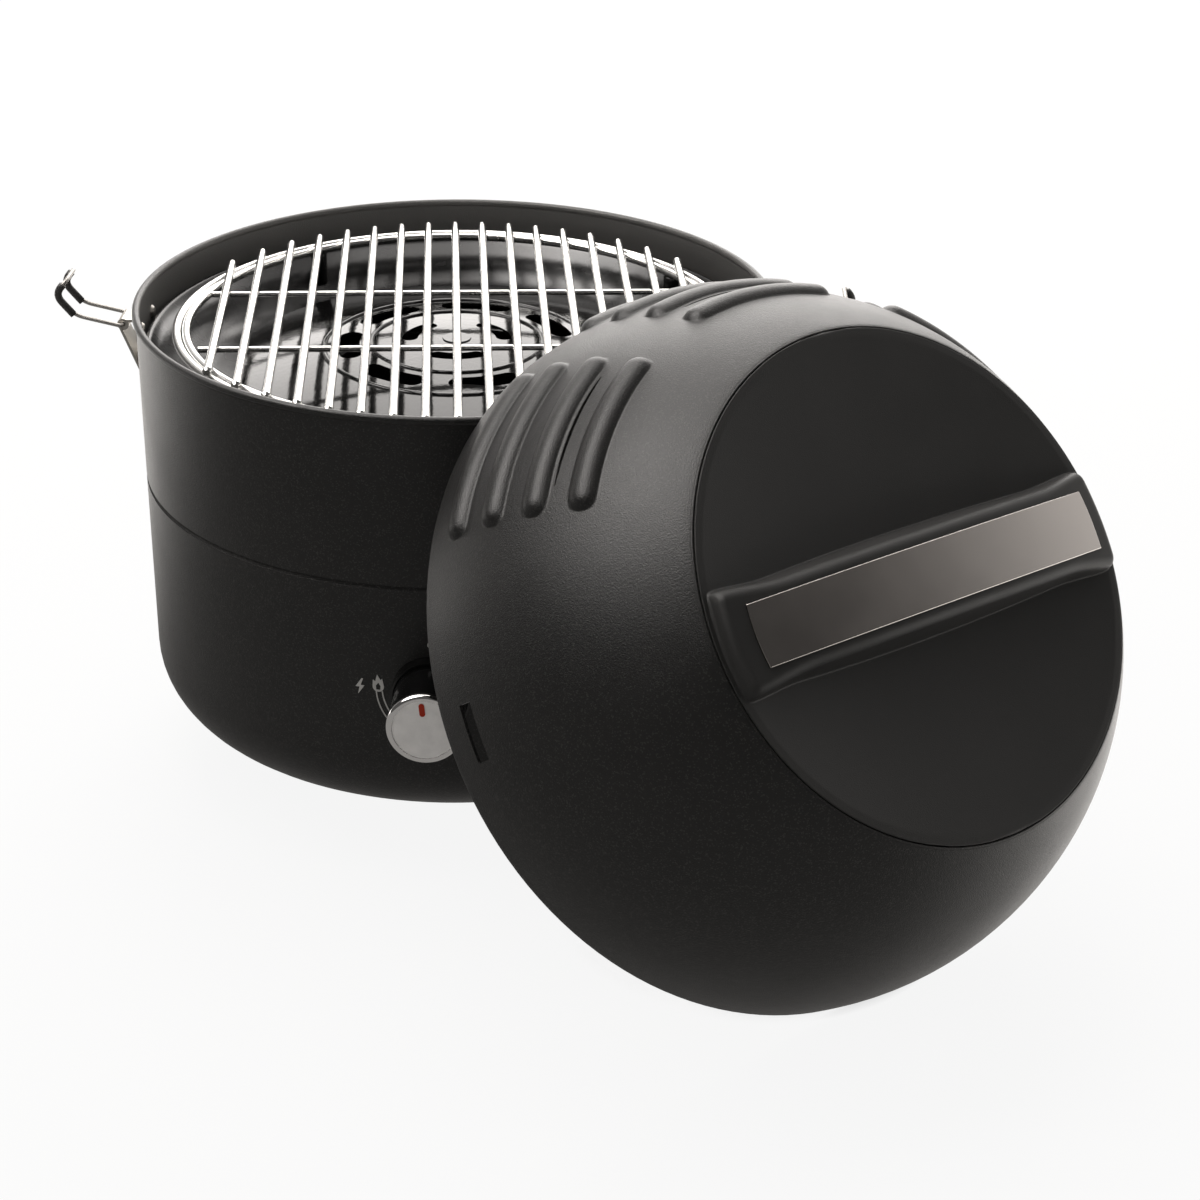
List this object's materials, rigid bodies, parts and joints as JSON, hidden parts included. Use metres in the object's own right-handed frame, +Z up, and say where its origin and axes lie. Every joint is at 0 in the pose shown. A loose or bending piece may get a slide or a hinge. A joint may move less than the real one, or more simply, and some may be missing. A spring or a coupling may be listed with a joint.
{
  "type": "portable gas grill",
  "caption": "Round tabletop gas grill: a pot with a burner, fire bowl and wire grate, wire bail latches, a push-and-turn knob and a domed lid taken off and leaning on the rim.",
  "frame": {"origin": "on the ground under the middle of the pot, in the plane of the feet", "axes": "+Z up along the pot's axis, -Y through the control knob, +X to the right as seen facing the knob, through the right latch"},
  "size_m": [0.5865, 0.5816, 0.3446],
  "materials": {
    "powder_coat": "satin powder coat with a fine sparkle",
    "enamel": "gloss enamel on sheet steel",
    "black_plastic": "fine matt grain",
    "bright_plate": "bright plate with a fine grain",
    "grate_chrome": "plated wire",
    "knob_black": "gloss",
    "knob_chrome": "plated, bright",
    "knob_satin": "satin, spun",
    "mark_red": "printed mark",
    "print_grey": "printed marks",
    "latch_steel": "zinc plated, satin",
    "wire_steel": "plated wire",
    "sleeve_black": "satin",
    "foot_rubber": "matt",
    "screw_steel": "zinc plated",
    "inner_steel": "bare sheet",
    "cast_burner": "as cast",
    "brass": "turned",
    "ceramic": "fired",
    "lead_jacket": "smooth"
  },
  "bodies": {
    "grill_base": {"base_shell": "powder_coat", "fire_bowl": "enamel", "bowl_floor": "enamel", "heat_plate": "enamel", "knob_bezel": "knob_black", "dial_print": "print_grey", "latch_bracket_left": "latch_steel", "latch_bracket_right": "latch_steel", "latch_rivets": "latch_steel", "foot_front_left": "foot_rubber", "foot_front_right": "foot_rubber", "foot_rear_left": "foot_rubber", "foot_rear_right": "foot_rubber", "foot_screws": "screw_steel", "burner_screws": "screw_steel", "bowl_bracket_1": "inner_steel", "bowl_bracket_2": "inner_steel", "bowl_bracket_3": "inner_steel", "burner_head": "cast_burner", "burner_cap": "cast_burner", "venturi_tube": "inner_steel", "burner_bracket": "inner_steel", "gas_jet": "brass", "valve_body": "brass", "valve_bracket": "inner_steel", "supply_tube": "brass", "gas_inlet": "brass", "inlet_nut": "screw_steel", "spark_electrode": "ceramic", "electrode_lead": "lead_jacket"},
    "valve_core": {"valve_plug": "brass"},
    "control_knob": {"valve_stem": "screw_steel", "knob_barrel": "knob_black", "knob_cap": "knob_chrome", "knob_face": "knob_satin", "knob_marker": "mark_red"},
    "cooking_grate": {"grate_bars": "grate_chrome", "grate_rings": "grate_chrome", "grate_rods": "grate_chrome"},
    "lid": {"lid_dome": "powder_coat", "handle_disc": "black_plastic", "handle_plate": "bright_plate", "handle_screws": "screw_steel"},
    "left_bail": {"bail_wire_left": "wire_steel", "bail_grip_left": "sleeve_black"},
    "right_bail": {"bail_wire_right": "wire_steel", "bail_grip_right": "sleeve_black"}
  },
  "joints": [
    {"name": "valve_turn", "type": "hinge", "parent": "grill_base", "child": "valve_core", "pos_m": [0, -0.15, 0.1175], "axis": [0, -1, 0], "range_deg": [0, 180]},
    {"name": "knob_push", "type": "slide", "parent": "valve_core", "child": "control_knob", "axis": [0, 1, 0], "range_m": [0, 0.003], "stiffness_N_per_m": 900, "springref_m": -0.003},
    {"name": "grate_lift", "type": "slide", "parent": "grill_base", "child": "cooking_grate", "axis": [-0.4433, 0.501, 0.7433], "range_m": [0, 0.1]},
    {"name": "lid_lift", "type": "slide", "parent": "grill_base", "child": "lid", "axis": [0, 0, 1], "range_m": [0, 0.3]},
    {"name": "left_bail_swing", "type": "hinge", "parent": "grill_base", "child": "left_bail", "pos_m": [-0.19, 0, 0.2565], "axis": [0, 1, 0], "range_deg": [-95, 77]},
    {"name": "right_bail_swing", "type": "hinge", "parent": "grill_base", "child": "right_bail", "pos_m": [0.19, 0, 0.2565], "axis": [0, -1, 0], "range_deg": [-95, 77]}
  ]
}
